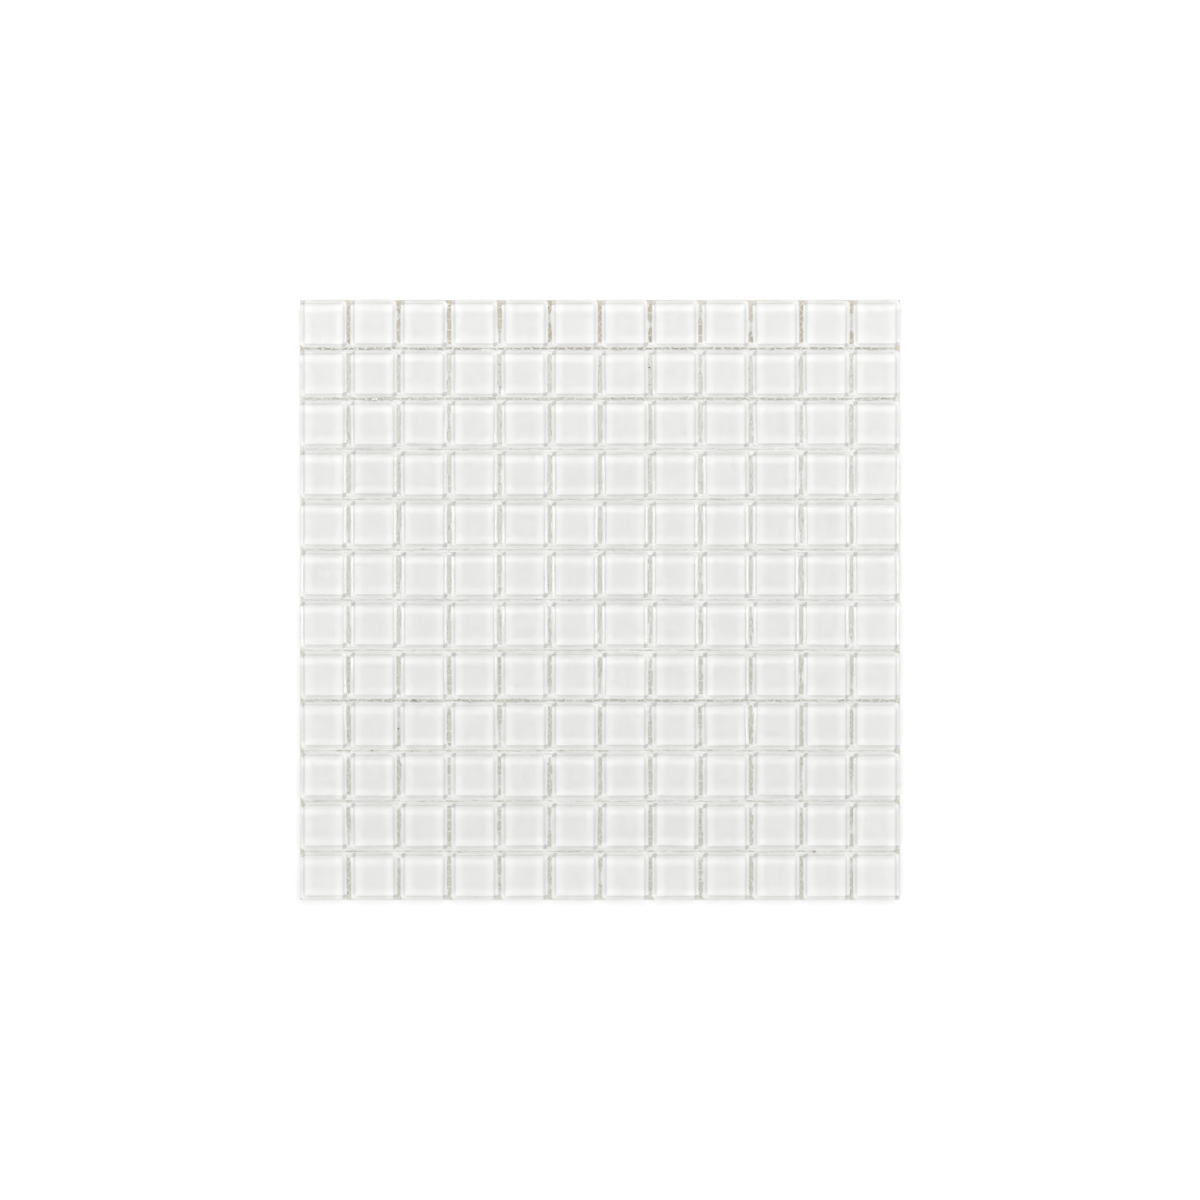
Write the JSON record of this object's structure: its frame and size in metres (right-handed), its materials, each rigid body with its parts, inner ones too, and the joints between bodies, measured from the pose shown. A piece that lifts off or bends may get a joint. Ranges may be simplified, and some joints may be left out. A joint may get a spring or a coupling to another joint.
{
  "type": "mosaic tile sheet",
  "caption": "Square sheet of small clear glass mosaic chips with white-coated backs, laid in an even grid and glued to a textile net.",
  "frame": {"origin": "centre of the net's underside, the face that is bedded in adhesive", "axes": "+X along a row of chips, +Y across the rows, +Z out of the glass face"},
  "size_m": [0.298, 0.298, 0.0044],
  "materials": {
    "glass_chip": "clear glass, fire-polished, white enamel on the back",
    "net": "white knitted net with clear-drying glue"
  },
  "bodies": {
    "root": {"backing_net": "net", "chip_row_01": "glass_chip", "chip_row_02": "glass_chip", "chip_row_03": "glass_chip", "chip_row_04": "glass_chip", "chip_row_05": "glass_chip", "chip_row_06": "glass_chip", "chip_row_07": "glass_chip", "chip_row_08": "glass_chip", "chip_row_09": "glass_chip", "chip_row_10": "glass_chip", "chip_row_11": "glass_chip", "chip_row_12": "glass_chip"}
  },
  "joints": []
}
